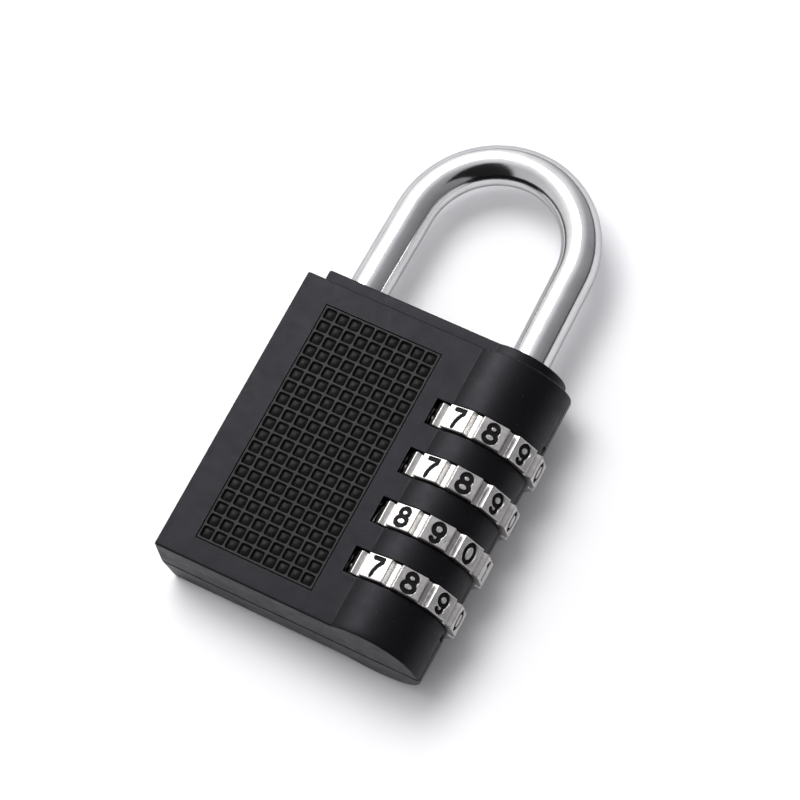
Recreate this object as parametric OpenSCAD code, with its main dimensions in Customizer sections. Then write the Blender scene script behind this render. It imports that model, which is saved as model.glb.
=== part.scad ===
// Four-dial combination padlock, lying on its back.
// X runs across the body towards the dials, Y along it towards the shackle, Z out of the front.
// The modules use the body's own datum: x = 0 at the front's left edge, y = 0 at its bottom edge and
// z = 0 on the flat front. place() then puts the origin under the middle of the whole lock.

/* [Body] */
// Length of the body along the shackle, without the shoulder
body_len = 48; // [44:0.5:60]
// Thickness over the two flat faces
body_thick = 14.4; // [13.2:0.2:18]
// How far the sides lean out from the flat face to the parting line
draft = 0.35; // [0:0.05:0.6]
// Radius of the round side that holds the dials
bulge_r = 8.7; // [8.2:0.1:10]
// How far the round side's centre is inboard of the dial axis
bulge_inset = 0.3; // [0:0.1:0.6]
// Wall left round the hollow of each shell
wall = 2.2; // [1.6:0.1:2.6]

/* [Shoulder] */
// Height of the shoulder that the shackle comes out of
shoulder_h = 1.9; // [1:0.1:3]
// How far the shoulder stands in from the left edge
shoulder_left = 2.5; // [1:0.1:3]
// How far the shoulder stands in from each flat face
shoulder_step = 1; // [0.4:0.1:2]
// How far the shoulder stands in from the round side
shoulder_round_step = 1.7; // [0.4:0.1:2.5]

/* [Shackle] */
// Diameter of the shackle bar
bar_d = 6.2; // [5:0.1:6.6]
// Distance between the middles of the two legs
leg_pitch = 28; // [26:0.5:34]
// Distance from the left edge to the middle of the toe leg
toe_x = 7.3; // [6.3:0.1:9]
// Height of the bow's centre above the shoulder
bow_rise = 15.45; // [10:0.5:40]
// How far each leg leans in towards the bow, in degrees
leg_lean = 1.4; // [0.2:0.1:2]
// Depth of the toe leg in the body
toe_depth = 7; // [5:0.5:7.5]
// Travel of the shackle when it opens
lift = 8; // [7.8:0.05:8.4]
// Running gap round the shackle's legs
leg_gap = 0.1; // [0.05:0.01:0.15]

/* [Dials] */
// Distance from one dial to the next
dial_pitch = 8.48; // [8.2:0.02:9]
// Middle of the row of dials, measured from the bottom edge
dial_mid = 23.1; // [22.8:0.1:24]
// Width of a dial
dial_w = 3.9; // [3.3:0.1:4.1]
// Radius over the corners of the number faces
dial_r = 9.66; // [9.2:0.02:10]
// Half the angle that one number face takes up, in degrees
face_half = 12.4; // [11:0.1:14]
// Depth of the finger groove between two faces
groove_depth = 0.9; // [0.5:0.1:1.2]
// Gap on each side of a dial in its slot
dial_gap = 0.2; // [0.1:0.05:0.3]
// Gap round a dial in its slot
dial_clear = 0.84; // [0.6:0.02:1]

/* [Code sleeves] */
// Radius of the stem that carries the fins
stem_r = 2.25; // [2:0.05:2.4]
// Thickness of the lip that blocks a fin
lip_t = 1.2; // [1:0.1:1.3]
// Height of the lip's middle above the dial's middle
lip_up = 1.3; // [1.2:0.05:1.5]
// Wall of a sleeve
sleeve_wall = 1.4; // [1.2:0.1:1.6]
// Width of a fin
fin_w = 1.8; // [1.4:0.1:2]
// Height of a fin along the stem
fin_h = 1.6; // [1.2:0.1:1.7]
// Gap between a fin and the lip over it
fin_gap = 0.35; // [0.25:0.05:0.5]
// Height of the clutch teeth
tooth_h = 1.3; // [1:0.1:1.5]
// Width of a clutch tooth
tooth_w = 1.2; // [0.9:0.1:1.4]

/* [Front panel] */
// Pitch of the panel's cells across the lock
cell_x = 2.145; // [1.9:0.005:2.2]
// Pitch of the panel's cells along the lock
cell_y = 2.121; // [1.9:0.001:2.15]
// Middle of the panel, measured from the left edge
panel_x = 15.09; // [14:0.1:15.5]
// Middle of the panel, measured from the bottom edge
panel_y = 23.96; // [23.5:0.02:24.5]
// Thickness of the panel
panel_t = 0.6; // [0.4:0.1:0.8]
// Width of a rib between two cells
rib_w = 0.35; // [0.25:0.05:0.5]

/* [Hidden] */
$fn = 96;
DIALS = 4;
FACES = 10;
COLS = 9;
ROWS = 19;
// A little extra so that a cut passes its face
over = 1;
fit = 0.1;
// Gap between two inner parts that touch in the real lock
touch = 0.05;

// Main planes and axes
seam_z = -body_thick / 2;
heel_x = toe_x + leg_pitch;
bulge_x = heel_x - bulge_inset;
shoulder_y = body_len + shoulder_h;
bar_r = bar_d / 2;
bore_r = bar_r + leg_gap;
toe_gap = leg_gap + 0.05;
toe_chamfer = 0.8;
toe_floor = shoulder_y - toe_depth - 0.5;

// Bow of the shackle
mid_x = (toe_x + heel_x) / 2;
knee_up = 1.1;
knee_y = shoulder_y + knee_up;
bow_y = shoulder_y + bow_rise;
leaning_rise = bow_y - knee_y;
// The leaning part is this much finer, and ends this far inside the straight part and the bow
neck = 0.01;
neck_in = 0.3;
bow_r = leg_pitch / 2 * cos(leg_lean) - leaning_rise * sin(leg_lean);
shackle_top = bow_y + bow_r + bar_r;

// Dials and slots
function dial_y(n) = dial_mid + (DIALS + 1 - 2 * n) / 2 * dial_pitch;
slot_w = dial_w + 2 * dial_gap;
slot_r = dial_r + dial_clear;
face_step = 360 / FACES;
groove_half = 2.6;
groove_r = dial_r - groove_depth;

// Arrow-shaped notches beside the first and the last dial
mark = 1.1;
mark_depth = 0.45;
mark_gap = 0.5;

// Code sleeves, which stand end to end on the stem
sleeve_in = bar_r + fit;
sleeve_out = sleeve_in + sleeve_wall;
sleeve_bore = sleeve_out + fit;
sleeve_gap = 0.2;
sleeve_len = dial_pitch - sleeve_gap;
lip_in = stem_r + fit;
key_w = fin_w + 0.4;
tooth_reach = 1.3;
tooth_root = 0.3;
tooth_out = sleeve_out + tooth_reach;
tooth_low = -dial_w / 2 + touch;
// Room round the teeth, and below each slot for the sleeve to drop when the code is set
teeth_gap = 0.15;
teeth_room = 1.6;
sleeves_top = dial_y(1) + sleeve_len / 2 + teeth_gap;
sleeves_bottom = dial_y(DIALS) - sleeve_len / 2;

// Lower end of the shackle's heel
floor_y = 1.2;
stem_end = floor_y + 0.2;
clip_t = 0.9;
clip_play = 0.03;
clip_clear = 0.23;
clip_bite = 0.45;
clip_top = dial_y(DIALS) + lip_up - lip_t / 2 - lift - clip_clear;
clip_seat = stem_r - clip_bite;
clip_mouth = 0.85;
land_up = 0.5;
land_y = dial_y(1) + lip_up + lip_t / 2 + land_up;
washer_t = 0.6;
washer_top = sleeves_bottom - touch;

// Return spring in the stem and code spring round it: wire radius, then mean radius
spring_bore = 1.2;
spring_hole = 11.4;
spring_top = stem_end + spring_hole;
spring_wire = 0.16;
spring_r = spring_bore - spring_wire - 0.12;
sleeve_wire = 0.3;
sleeve_spring_r = sleeve_in + 0.7;

// Panel and its recess
panel_w = COLS * cell_x + rib_w;
panel_h = ROWS * cell_y + rib_w;
recess_gap = 0.12;
recess_z = -panel_t - touch;
panel_base = panel_t * 0.45;

// Hollow of the shells and the screws
slot_wall = 2.4;
seat_wall = 1.4;
hollow_right = heel_x - slot_r - slot_wall;
hollow_top = toe_floor - wall;
hollow_front = recess_z - seat_wall;
screw_r = 1;
head_r = 1.9;
head_t = 0.9;
boss_r = 2.5;
screw_dx = 7;
screw_dy = 14;
screw_shift = 2;
screw_cover = 1.6;
screw_end = -body_thick + screw_cover;
screw_fit = 0.02;
cross_len = 2.2;
cross_w = 0.5;
cross_depth = 0.35;
SCREWS = [for (sx = [-1, 1], sy = [-1, 1])
    [panel_x - screw_shift + sx * screw_dx, panel_y - screw_shift + sy * screw_dy]];

// Detent springs press in the groove that is this angle round from the front
detent_turn = -108;
leaf_t = 0.3;
leaf_len = 5.6;
leaf_w = 2.4;
leaf_r = dial_r + 0.3;
leaf_room = 0.15;
foot_len = 1.2;
foot_r = leaf_r + foot_len;
nose_r = 0.7;
nose_in = 0.28;
// The pocket starts this far inside the leaf's back, where the slot is already open
pocket_in = 0.6;

// Origin: under the middle of the lock, at the lowest corner of the dials
low_z = seam_z - dial_r * cos(face_step / 2 - face_half);
high_x = heel_x + dial_r * cos(face_half);
origin = [(high_x - draft) / 2, (shackle_top - draft) / 2, low_z];

module place() {
    translate(-origin) children();
}

// Extrudes a section drawn in X and Z from y0 to y1
module along_y(y0, y1) {
    translate([0, y1, 0]) rotate([90, 0, 0]) linear_extrude(y1 - y0) children();
}

// A rod along Y at x, on the parting plane
module rod_y(x, y0, y1, r) {
    translate([x, y1, seam_z]) rotate([90, 0, 0]) cylinder(h = y1 - y0, r = r);
}

// Turns a piece drawn along +X from the dial axis, to an angle from the front towards +X
module round_axis(turn, y) {
    translate([heel_x, y, seam_z]) rotate([0, turn - 90, 0]) children();
}

// Section of one shell above the parting plane: flat part, leaning side and round side
module shell_section() {
    polygon([[-draft, 0], [0, -seam_z], [bulge_x, -seam_z], [bulge_x, 0]]);
    intersection() {
        translate([bulge_x, 0]) circle(r = bulge_r);
        translate([bulge_x - bulge_r, 0]) square([2 * bulge_r, bulge_r]);
    }
}

module shoulder_section() {
    translate([shoulder_left, 0]) square([bulge_x - shoulder_left, -seam_z - shoulder_step]);
    intersection() {
        translate([bulge_x, 0]) circle(r = bulge_r - shoulder_round_step);
        translate([bulge_x - bulge_r, 0]) square([2 * bulge_r, bulge_r]);
    }
}

// Leans the two ends of a shell in from the parting line
module leaning_ends() {
    tall = bulge_r + over;
    lean = draft * tall / -seam_z;
    translate([-draft - over, 0, 0]) rotate([90, 0, 90])
        linear_extrude(bulge_x + bulge_r + draft + 2 * over)
        polygon([[-draft, 0], [body_len + draft, 0],
                 [body_len + draft - lean, tall], [-draft + lean, tall]]);
}

// Outer form of a shell, standing on the parting plane
module shell_blank() {
    intersection() {
        along_y(-draft - over, body_len + draft + over) shell_section();
        leaning_ends();
    }
    along_y(body_len - over, shoulder_y) shoulder_section();
}

// Everything that is cut out of both shells alike
module inner_cuts() {
    for (n = [1:DIALS]) {
        rod_y(heel_x, dial_y(n) - slot_w / 2, dial_y(n) + slot_w / 2, slot_r);
        rod_y(heel_x, dial_y(n) - slot_w / 2 - teeth_room, dial_y(n), tooth_out + teeth_gap);
        detent_pocket(n);
    }
    rod_y(heel_x, floor_y, sleeves_top, sleeve_bore);
    rod_y(heel_x, sleeves_top - over, shoulder_y + over, bore_r);
    rod_y(toe_x, toe_floor, shoulder_y + over, bar_r + toe_gap);
    for (side = [-1, 1]) index_mark(side);
}

module detent_pocket(n) {
    round_axis(detent_turn, dial_y(n))
        translate([leaf_r - pocket_in, -leaf_w / 2 - leaf_room, -leaf_len / 2 - 2 * leaf_room])
            cube([foot_len + pocket_in + touch, leaf_w + 2 * leaf_room, leaf_len + 4 * leaf_room]);
}

// Small arrow-shaped notch on the round side, beyond the first and the last dial
module index_mark(side) {
    y = dial_y(side > 0 ? 1 : DIALS) + side * (slot_w / 2 + mark_gap);
    translate([bulge_x + bulge_r - mark_depth, y, seam_z])
        rotate([0, 90, 0]) linear_extrude(over)
            polygon([[-mark / 2, side * mark], [mark / 2, side * mark], [0, 0]]);
}

// Hollow between the shells from z0 to z1, with a boss left round each screw
module hollow(z0, z1) {
    difference() {
        translate([wall, wall, z0]) cube([hollow_right - wall, hollow_top - wall, z1 - z0]);
        for (s = SCREWS)
            translate([s[0], s[1], z0 - over]) cylinder(h = z1 - z0 + 2 * over, r = boss_r);
    }
}

module front_shell() color("#2a2a2c") place() difference() {
    translate([0, 0, seam_z]) shell_blank();
    inner_cuts();
    hollow(seam_z - over, hollow_front);
    translate([panel_x - panel_w / 2 - recess_gap, panel_y - panel_h / 2 - recess_gap, recess_z])
        cube([panel_w + 2 * recess_gap, panel_h + 2 * recess_gap, over]);
    for (s = SCREWS) translate([s[0], s[1], 0]) {
        translate([0, 0, seam_z - over]) cylinder(h = over - seam_z, r = screw_r + fit);
        translate([0, 0, recess_z - head_t]) cylinder(h = head_t + over, r = head_r + fit);
    }
}

module back_shell() color("#2a2a2c") place() difference() {
    translate([0, 0, seam_z]) mirror([0, 0, 1]) shell_blank();
    inner_cuts();
    hollow(-body_thick + wall, seam_z + over);
    for (s = SCREWS)
        translate([s[0], s[1], screw_end - 2 * fit]) cylinder(h = -screw_end, r = screw_r + screw_fit);
}

// Plate with a raised rib round every cell
module grip_panel() color("#1c1c1d") place() {
    translate([panel_x - panel_w / 2, panel_y - panel_h / 2, recess_z]) {
        cube([panel_w, panel_h, panel_base]);
        for (i = [0:COLS]) translate([i * cell_x, 0, 0]) cube([rib_w, panel_h, panel_t]);
        for (j = [0:ROWS]) translate([0, j * cell_y, 0]) cube([panel_w, rib_w, panel_t]);
    }
}

// Four screws under the panel, each with a cross recess
module shell_screws() color("#9a9a98") place() for (s = SCREWS) translate([s[0], s[1], 0]) {
    difference() {
        translate([0, 0, recess_z - head_t]) cylinder(h = head_t - touch, r = head_r);
        for (turn = [0, 90]) rotate(turn)
            translate([-cross_len / 2, -cross_w / 2, recess_z - head_t + cross_depth])
                cube([cross_len, cross_w, over]);
    }
    translate([0, 0, screw_end]) cylinder(h = recess_z - head_t + fit - screw_end, r = screw_r);
}

// Straight bar that leans from the top of a leg to the start of the bow
module leaning_side() {
    translate([heel_x, knee_y, seam_z]) rotate([0, 0, leg_lean]) rotate([-90, 0, 0])
        translate([0, 0, -neck_in])
            cylinder(h = leaning_rise * cos(leg_lean) + leg_pitch / 2 * sin(leg_lean) + 2 * neck_in,
                     r = bar_r - neck);
}

// Fins of full bar radius stand out from the stem towards the toe leg
module fin(n) {
    top = dial_y(n) + lip_up - lip_t / 2 - fin_gap;
    intersection() {
        rod_y(heel_x, top - fin_h, top, bar_r);
        translate([heel_x - bar_r - over, top - fin_h - over, seam_z - fin_w / 2])
            cube([bar_r + over, fin_h + 2 * over, fin_w]);
    }
}

module shackle() color("#d8d8da") place() {
    toe_end = shoulder_y - toe_depth;
    translate([mid_x, bow_y, seam_z]) rotate([0, 0, leg_lean])
        rotate_extrude(angle = 180 - 2 * leg_lean) translate([bow_r, 0]) circle(r = bar_r);
    leaning_side();
    translate([2 * mid_x, 0, 0]) mirror([1, 0, 0]) leaning_side();
    rod_y(toe_x, toe_end + toe_chamfer, knee_y, bar_r);
    translate([toe_x, toe_end, seam_z]) rotate([-90, 0, 0])
        cylinder(h = toe_chamfer, r1 = bar_r - toe_chamfer, r2 = bar_r);
    rod_y(heel_x, land_y, knee_y, bar_r);
    difference() {
        union() {
            rod_y(heel_x, stem_end, land_y, stem_r);
            for (n = [1:DIALS]) fin(n);
        }
        rod_y(heel_x, stem_end - over, spring_top, spring_bore);
        difference() {
            rod_y(heel_x, clip_top - clip_t - clip_play, clip_top + clip_play, stem_r + over);
            rod_y(heel_x, clip_top - clip_t - over, clip_top + over, clip_seat);
        }
    }
}

// Open ring that snaps into the groove at the stem's lower end
module retaining_clip() color("#6f7072") place() difference() {
    rod_y(heel_x, clip_top - clip_t, clip_top, bar_r);
    rod_y(heel_x, clip_top - clip_t - over, clip_top + over, clip_seat + clip_play);
    translate([heel_x - clip_mouth * clip_seat, clip_top - clip_t - over, seam_z])
        cube([2 * clip_mouth * clip_seat, clip_t + 2 * over, bar_r + over]);
}

// Round wire of radius wire wound with mean radius r on the heel's axis, from y0 to y1
module coil(y0, y1, r, wire, turns, per_turn) {
    sides = 6;
    rings = turns * per_turn;
    rise = (y1 - y0 - 2 * wire) / rings;
    points = [for (i = [0:rings], j = [0:sides - 1])
        let (a = 360 * i / per_turn, b = 360 * j / sides, q = r + wire * cos(b))
        [q * cos(a), y0 + wire + rise * i + wire * sin(b), q * sin(a)]];
    skin = [for (i = [0:rings - 1], j = [0:sides - 1])
        let (k = (j + 1) % sides)
        [i * sides + j, (i + 1) * sides + j, (i + 1) * sides + k, i * sides + k]];
    first = [for (j = [0:sides - 1]) j];
    last = [for (j = [sides - 1:-1:0]) rings * sides + j];
    translate([heel_x, 0, seam_z]) polyhedron(points, concat(skin, [first, last]));
}

module shackle_spring() color("#b9babd") place()
    coil(floor_y, spring_top - screw_fit, spring_r, spring_wire, 9, 12);

module sleeve_spring() color("#b9babd") place()
    coil(floor_y, washer_top - washer_t, sleeve_spring_r, sleeve_wire, 3, 24);

module thrust_washer() color("#b9a25a") place() difference() {
    rod_y(heel_x, washer_top - washer_t, washer_top, sleeve_out);
    rod_y(heel_x, washer_top - washer_t - over, washer_top + over, sleeve_in + touch);
}

// Outline of a dial: ten flat number faces with a tapered groove between each pair
module dial_outline() {
    polygon([for (k = [0:FACES - 1])
        let (face = face_step * (k + 0.5), groove = face + face_step / 2)
        each [for (p = [[face - face_half, dial_r], [face + face_half, dial_r],
                        [groove - groove_half, groove_r], [groove + groove_half, groove_r]])
            p[1] * [sin(p[0]), cos(p[0])]]]);
}

// Ring of clutch teeth on the n-th dial's axis, each wider and longer by grow
module teeth(n, grow) {
    for (k = [0:FACES - 1])
        round_axis(face_step * k, dial_y(n) + tooth_low - grow)
            translate([sleeve_out - tooth_root, 0, -tooth_w / 2 - grow])
                cube([tooth_reach + tooth_root + grow, tooth_h + 2 * grow, tooth_w + 2 * grow]);
}

module dial(n) color("#c9c8c6") place() difference() {
    along_y(dial_y(n) - dial_w / 2, dial_y(n) + dial_w / 2)
        translate([heel_x, seam_z]) dial_outline();
    rod_y(heel_x, dial_y(n) - dial_w, dial_y(n) + dial_w, sleeve_out + fit);
    teeth(n, 0.1);
}

// Sleeve keyed to a dial; its lip blocks the stem's fin unless the keyway is in line with it
module sleeve(n) color("#c2a35c") place() difference() {
    low = dial_y(n) - sleeve_len / 2;
    high = dial_y(n) + sleeve_len / 2;
    lip_y = dial_y(n) + lip_up;
    union() {
        rod_y(heel_x, low, high, sleeve_out);
        teeth(n, 0);
    }
    rod_y(heel_x, low - over, lip_y - lip_t / 2, sleeve_in);
    rod_y(heel_x, lip_y + lip_t / 2, high + over, sleeve_in);
    rod_y(heel_x, low, high, lip_in);
    translate([heel_x - sleeve_in, low, seam_z - key_w / 2]) cube([sleeve_in, sleeve_len, key_w]);
}

// Bowed leaf on two feet, with a round nose that drops in the dial's groove
module detent_spring(n) color("#b9babd") place() round_axis(detent_turn, dial_y(n)) {
    translate([leaf_r, -leaf_w / 2, -leaf_len / 2]) cube([leaf_t, leaf_w, leaf_len]);
    for (side = [0, 1])
        translate([leaf_r, -leaf_w / 2, side * (leaf_len - leaf_t) - leaf_len / 2])
            cube([foot_r - leaf_r, leaf_w, leaf_t]);
    translate([leaf_r - nose_in, leaf_w / 2, 0]) rotate([90, 0, 0]) cylinder(h = leaf_w, r = nose_r);
}

front_shell();
back_shell();
grip_panel();
shell_screws();
shackle();
retaining_clip();
shackle_spring();
sleeve_spring();
thrust_washer();
dial(1);  // dial_1
dial(2);  // dial_2
dial(3);  // dial_3
dial(4);  // dial_4
sleeve(1);  // sleeve_1
sleeve(2);  // sleeve_2
sleeve(3);  // sleeve_3
sleeve(4);  // sleeve_4
detent_spring(1);  // detent_spring_1
detent_spring(2);  // detent_spring_2
detent_spring(3);  // detent_spring_3
detent_spring(4);  // detent_spring_4
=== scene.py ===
"""Looks of a four-dial combination padlock that lies on its back.

The shapes are drawn in millimetres in the body's own datum: x from the front's left edge, y from its bottom
edge, and height h from the parting plane between the two shells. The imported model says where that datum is.
"""

import math

import bmesh
import bpy
import numpy as np
from mathutils import Matrix, Vector


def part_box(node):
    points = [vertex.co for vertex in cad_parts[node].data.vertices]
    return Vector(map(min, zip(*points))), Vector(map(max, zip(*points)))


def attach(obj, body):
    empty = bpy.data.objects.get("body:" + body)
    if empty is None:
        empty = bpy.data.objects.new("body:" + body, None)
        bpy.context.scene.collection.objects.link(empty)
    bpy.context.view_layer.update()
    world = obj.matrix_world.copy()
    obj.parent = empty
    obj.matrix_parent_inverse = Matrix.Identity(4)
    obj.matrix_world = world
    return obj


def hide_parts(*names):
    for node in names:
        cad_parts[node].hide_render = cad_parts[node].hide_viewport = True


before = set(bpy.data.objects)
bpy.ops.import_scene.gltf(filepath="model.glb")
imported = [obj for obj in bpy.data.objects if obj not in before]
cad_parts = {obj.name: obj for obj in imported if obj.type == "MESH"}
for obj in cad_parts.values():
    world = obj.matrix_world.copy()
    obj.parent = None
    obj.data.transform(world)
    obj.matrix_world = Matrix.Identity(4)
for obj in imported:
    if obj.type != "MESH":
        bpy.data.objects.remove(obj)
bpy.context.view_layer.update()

# ---------------------------------------------------------------- sizes, in millimetres
MM = 0.001
HALF = 7.2  # from the parting plane to a flat face
DRAFT = 0.35  # how far the sides lean out at the parting plane
BODY_LEN = 48.0
SHOULDER_H = 1.9
SHOULDER_LEFT = 2.5
SHOULDER_STEP = 1.0
SHOULDER_ROUND_STEP = 1.7
BULGE_R = 8.7
BULGE_INSET = 0.3
TOE_X = 7.3
LEG_PITCH = 28.0
BAR_R = 3.1
BOW_RISE = 15.45
LEG_LEAN = math.radians(1.4)
TOE_DEPTH = 7.0
SLOT_R = 10.5
SLOT_W = 4.3
DIAL_W = 3.9
DIAL_R = 9.66
FACE_HALF = 12.4
GROOVE_HALF = 2.6
GROOVE_DEPTH = 0.9
FACES = 10
DIALS = (1, 2, 3, 4)
CELL = (2.145, 2.121)
CELLS = (9, 19)
PANEL_MID = (15.09, 23.96)
RIB_W = 0.35
PANEL_T = 0.6
RECESS_DEPTH = 0.65
RECESS_GAP = 0.12

SEAT_LEAN = 0.08  # how far each side wall of the panel's seat leans

shell_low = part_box("front_shell")[0]
DATUM = np.array([shell_low[0] + DRAFT * MM, shell_low[1] + DRAFT * MM, shell_low[2]])
HEEL_X = TOE_X + LEG_PITCH
MID_X = TOE_X + LEG_PITCH / 2
BULGE_X = HEEL_X - BULGE_INSET
SHOULDER_Y = BODY_LEN + SHOULDER_H


def dial_mid(n):
    """The middle of dial n along the lock, in the body's datum."""
    low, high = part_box(f"dial_{n}")
    return float((low[1] + high[1]) / 2 - DATUM[1]) / MM


DIAL_Y = {n: dial_mid(n) for n in DIALS}


# ---------------------------------------------------------------- mesh helpers
def finish_piece(name, points, faces, material, body, angle=35.0, weighted=False):
    """Makes a mesh piece from points in millimetres (x, y, h), welds it and points its faces outwards."""
    mesh = bpy.data.meshes.new(name)
    mesh.from_pydata((np.asarray(points, float) * MM + DATUM).tolist(), [], faces)
    bm = bmesh.new()
    bm.from_mesh(mesh)
    bmesh.ops.remove_doubles(bm, verts=bm.verts, dist=2e-7)
    bmesh.ops.recalc_face_normals(bm, faces=bm.faces)
    if bm.calc_volume(signed=True) < 0:
        bmesh.ops.reverse_faces(bm, faces=bm.faces)
    bm.to_mesh(mesh)
    bm.free()
    mesh.shade_smooth()
    mesh.set_sharp_from_angle(angle=math.radians(angle))
    piece = bpy.data.objects.new(name, mesh)
    bpy.context.collection.objects.link(piece)
    mesh.materials.append(material)
    if weighted:
        normals = piece.modifiers.new("flat faces stay flat", "WEIGHTED_NORMAL")
        normals.keep_sharp = True
    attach(piece, body)
    return piece


def arc(cx, ch, r, start, end, count):
    """Points on a circle about (cx, ch) from one angle to another, in degrees from +x."""
    a = np.radians(np.linspace(start, end, count))
    return np.stack([cx + r * np.cos(a), ch + r * np.sin(a)], 1)


def line(p, q, count):
    """Evenly spaced points from p to q, both included."""
    t = np.linspace(0, 1, count)[:, None]
    return np.asarray(p, float) * (1 - t) + np.asarray(q, float) * t


def strip(first, second):
    """Quads between two rings of vertex numbers of the same length, closed round."""
    n = len(first)
    return [(first[i], first[(i + 1) % n], second[(i + 1) % n], second[i]) for i in range(n)]


# ---------------------------------------------------------------- shells
SEAM_ROUND = 0.14
SEAM_GROOVE = 0.34
CORNER_ROUND = 0.45
SHOULDER_CORNER = 0.5
CREASE_R = 0.5
LEAST_ROUND = 0.05
END_ROUND = 0.3  # rounding of the edges at both ends of the body and of the shoulder
SLOT_ROUND = 0.14  # rounding of the slots' edges
NOTCH_TIP = 0.45  # from a slot to the point of the arrow-shaped notch
NOTCH_TAIL = 1.75
NOTCH_DEEP = 0.8
NOTCH_WALL = 0.06
SLOT_X = HEEL_X - math.sqrt(SLOT_R**2 - HALF**2)
PANEL_W = CELLS[0] * CELL[0] + RIB_W
PANEL_H = CELLS[1] * CELL[1] + RIB_W
RECESS_X = (PANEL_MID[0] - PANEL_W / 2 - RECESS_GAP, PANEL_MID[0] + PANEL_W / 2 + RECESS_GAP)
RECESS_Y = (PANEL_MID[1] - PANEL_H / 2 - RECESS_GAP, PANEL_MID[1] + PANEL_H / 2 + RECESS_GAP)
BORE_WIDE = 4.7
BORE_LEG = BAR_R + 0.1
BORE_TOE = BAR_R + 0.15
HOLLOW_X = (22.4, 2.7)
HOLLOW_Y = (2.2, 40.2)
HOLLOW_DEPTH = {1: HALF - 2.05, -1: HALF - 2.2}  # in the front and the back shell
SLEEVES_TOP = DIAL_Y[1] + 4.14 + 0.15
FLOOR_Y = 1.2
TOE_SPARE = 0.5  # the toe's bore is this much deeper than the toe
SEAT_POINTS = slice(12, 16)  # the panel's seat in the points of flat_run


def flat_run(inset, recess):
    """Outline from the parting line up the left side and over the flat face to the slots' left end. It is
    drawn inset millimetres inside the finished outline; recess is how deep the panel's seat is cut."""
    left = -DRAFT + inset
    top = HALF - inset
    r = max(CORNER_ROUND - inset, LEAST_ROUND)
    seam = arc(left + SEAM_ROUND, SEAM_ROUND, SEAM_ROUND, 270, 180, 5)
    corner_x = left + DRAFT * (top - r) / HALF
    corner = arc(corner_x + r, top - r, r, 180, 90, 7)
    seat = np.array([[RECESS_X[0], top], [RECESS_X[0] + SEAT_LEAN, top - recess],
                     [RECESS_X[1] - SEAT_LEAN, top - recess], [RECESS_X[1], top]])
    return np.concatenate([seam, corner, seat, line((RECESS_X[1] + 0.5, top), (SLOT_X, top), 3)])


def bulge_run(inset, notch, tapered):
    """Outline from the slots' left end through the hollow crease and round the dial side to the parting
    line. A tapered inset grows from nothing at its start, so that it meets the flat face."""
    r = BULGE_R - inset
    top = HALF - inset
    hollow = CREASE_R + inset
    crease_x = BULGE_X - math.sqrt((BULGE_R + CREASE_R) ** 2 - (HALF + CREASE_R) ** 2)
    turn = math.degrees(math.atan2(HALF + CREASE_R, BULGE_X - crease_x))
    crease = arc(crease_x, HALF + CREASE_R, hollow, 270, 360 - turn, 6)
    seam_angle = math.degrees(math.asin(notch / BULGE_R))
    side = arc(BULGE_X, 0, r, 180 - turn, seam_angle, 40)[1:]
    edge = arc(BULGE_X, 0, r, seam_angle, 0, 2)[-1] - (notch * 0.9, 0)
    run = np.concatenate([[(SLOT_X + 0.02, top)], crease, side, [edge]])
    if tapered:
        share = np.clip((run[:, 0] - SLOT_X) / 0.8, 0, 1)
        run[:, 1] += inset * (1 - share) * (run[:, 0] < BULGE_X)
    return run


def shoulder_run(inset):
    """Outline of the shoulder that the shackle comes out of."""
    left = SHOULDER_LEFT + inset
    top = HALF - SHOULDER_STEP - inset
    r = BULGE_R - SHOULDER_ROUND_STEP - inset
    corner_r = max(SHOULDER_CORNER - inset, LEAST_ROUND)
    hollow = CREASE_R
    crease_x = BULGE_X - math.sqrt((r + hollow) ** 2 - (top + hollow) ** 2)
    turn = math.degrees(math.atan2(top + hollow, BULGE_X - crease_x))
    seam = arc(left + SEAM_ROUND, SEAM_ROUND, SEAM_ROUND, 270, 180, 5)
    corner = arc(left + corner_r, top - corner_r, corner_r, 180, 90, 7)
    crease = arc(crease_x, top + hollow, hollow, 270, 360 - turn, 6)
    side = arc(BULGE_X, 0, r, 180 - turn, 1.2, 40)[1:]
    return np.concatenate([seam, corner, crease, side, [(BULGE_X + r - SEAM_ROUND, 0)]])


SHOULDER_RIGHT = BULGE_X + BULGE_R - SHOULDER_ROUND_STEP - SEAM_ROUND
SHOULDER_SEAM_LEFT = SHOULDER_LEFT + SEAM_ROUND


def heel_bite(r):
    """The parting line where the heel's bore crosses it, from right to left; r = 0 leaves it flat."""
    if r:
        middle = arc(HEEL_X, 0, r, 0, 180, 25)
    else:
        middle = line((HEEL_X + BORE_LEG, 0), (HEEL_X - BORE_LEG, 0), 25)
    return np.concatenate([[(HEEL_X + BORE_WIDE, 0)], middle, [(HEEL_X - BORE_WIDE, 0)]])


def toe_bite(kind, depth):
    """The parting line from the dials' side to the left edge: flat, over the hollow of the given depth, or
    over the toe's bore."""
    if kind == "hollow":
        a = line((HOLLOW_X[0], 0), (HOLLOW_X[0] - 0.2, depth), 11)
        b = line((HOLLOW_X[0] - 0.3, depth), (HOLLOW_X[1] + 0.3, depth), 19)
        return np.concatenate([a, b, line((HOLLOW_X[1] + 0.2, depth), (HOLLOW_X[1], 0), 11)])
    if kind == "toe":
        a = line((HOLLOW_X[0], 0), (TOE_X + BORE_TOE + 0.3, 0), 8)
        b = arc(TOE_X, 0, BORE_TOE, 0, 180, 29)
        return np.concatenate([a, b, line((TOE_X - BORE_TOE - 0.3, 0), (HOLLOW_X[1], 0), 4)])
    return line((HOLLOW_X[0], 0), (HOLLOW_X[1], 0), 41)


def lean(h):
    """How far an end of the body stands out at height h over the parting plane."""
    return DRAFT * (1 - h / HALF)


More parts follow.
